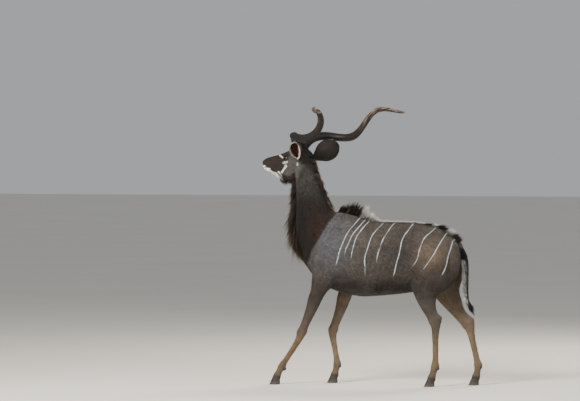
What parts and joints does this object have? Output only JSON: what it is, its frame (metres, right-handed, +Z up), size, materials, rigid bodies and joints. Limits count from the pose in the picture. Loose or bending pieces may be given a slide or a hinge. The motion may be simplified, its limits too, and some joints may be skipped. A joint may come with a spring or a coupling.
{
  "type": "greater kudu bull, life-size still model",
  "caption": "Life-size greater kudu bull, walking with its head raised and turned aside, with long corkscrew horns, a short mane and a fringe down the throat.",
  "frame": {"origin": "on the floor under the middle of the whole model's box", "axes": "+X towards the head end of the trunk, +Y the animal's left side, +Z up"},
  "size_m": [1.8183, 0.9872, 2.2234],
  "materials": {
    "coat": "short grey-brown hair with thin white stripes, a browner neck and tawny legs",
    "horn": "dark ridged horn with ivory towards the tips, satin",
    "hoof": "black horn, satin",
    "eye": "wet, very dark brown"
  },
  "bodies": {
    "root": {"torso": "coat", "neck": "coat", "head": "coat", "tail": "coat", "foreleg_left": "coat", "foreleg_right": "coat", "hind_leg_left": "coat", "hind_leg_right": "coat", "hoof_fore_left": "hoof", "hoof_fore_right": "hoof", "hoof_hind_left": "hoof", "hoof_hind_right": "hoof", "horn_left": "horn", "horn_right": "horn", "eye_left": "eye", "eye_right": "eye", "ear_left": "coat", "ear_right": "coat"}
  },
  "joints": []
}
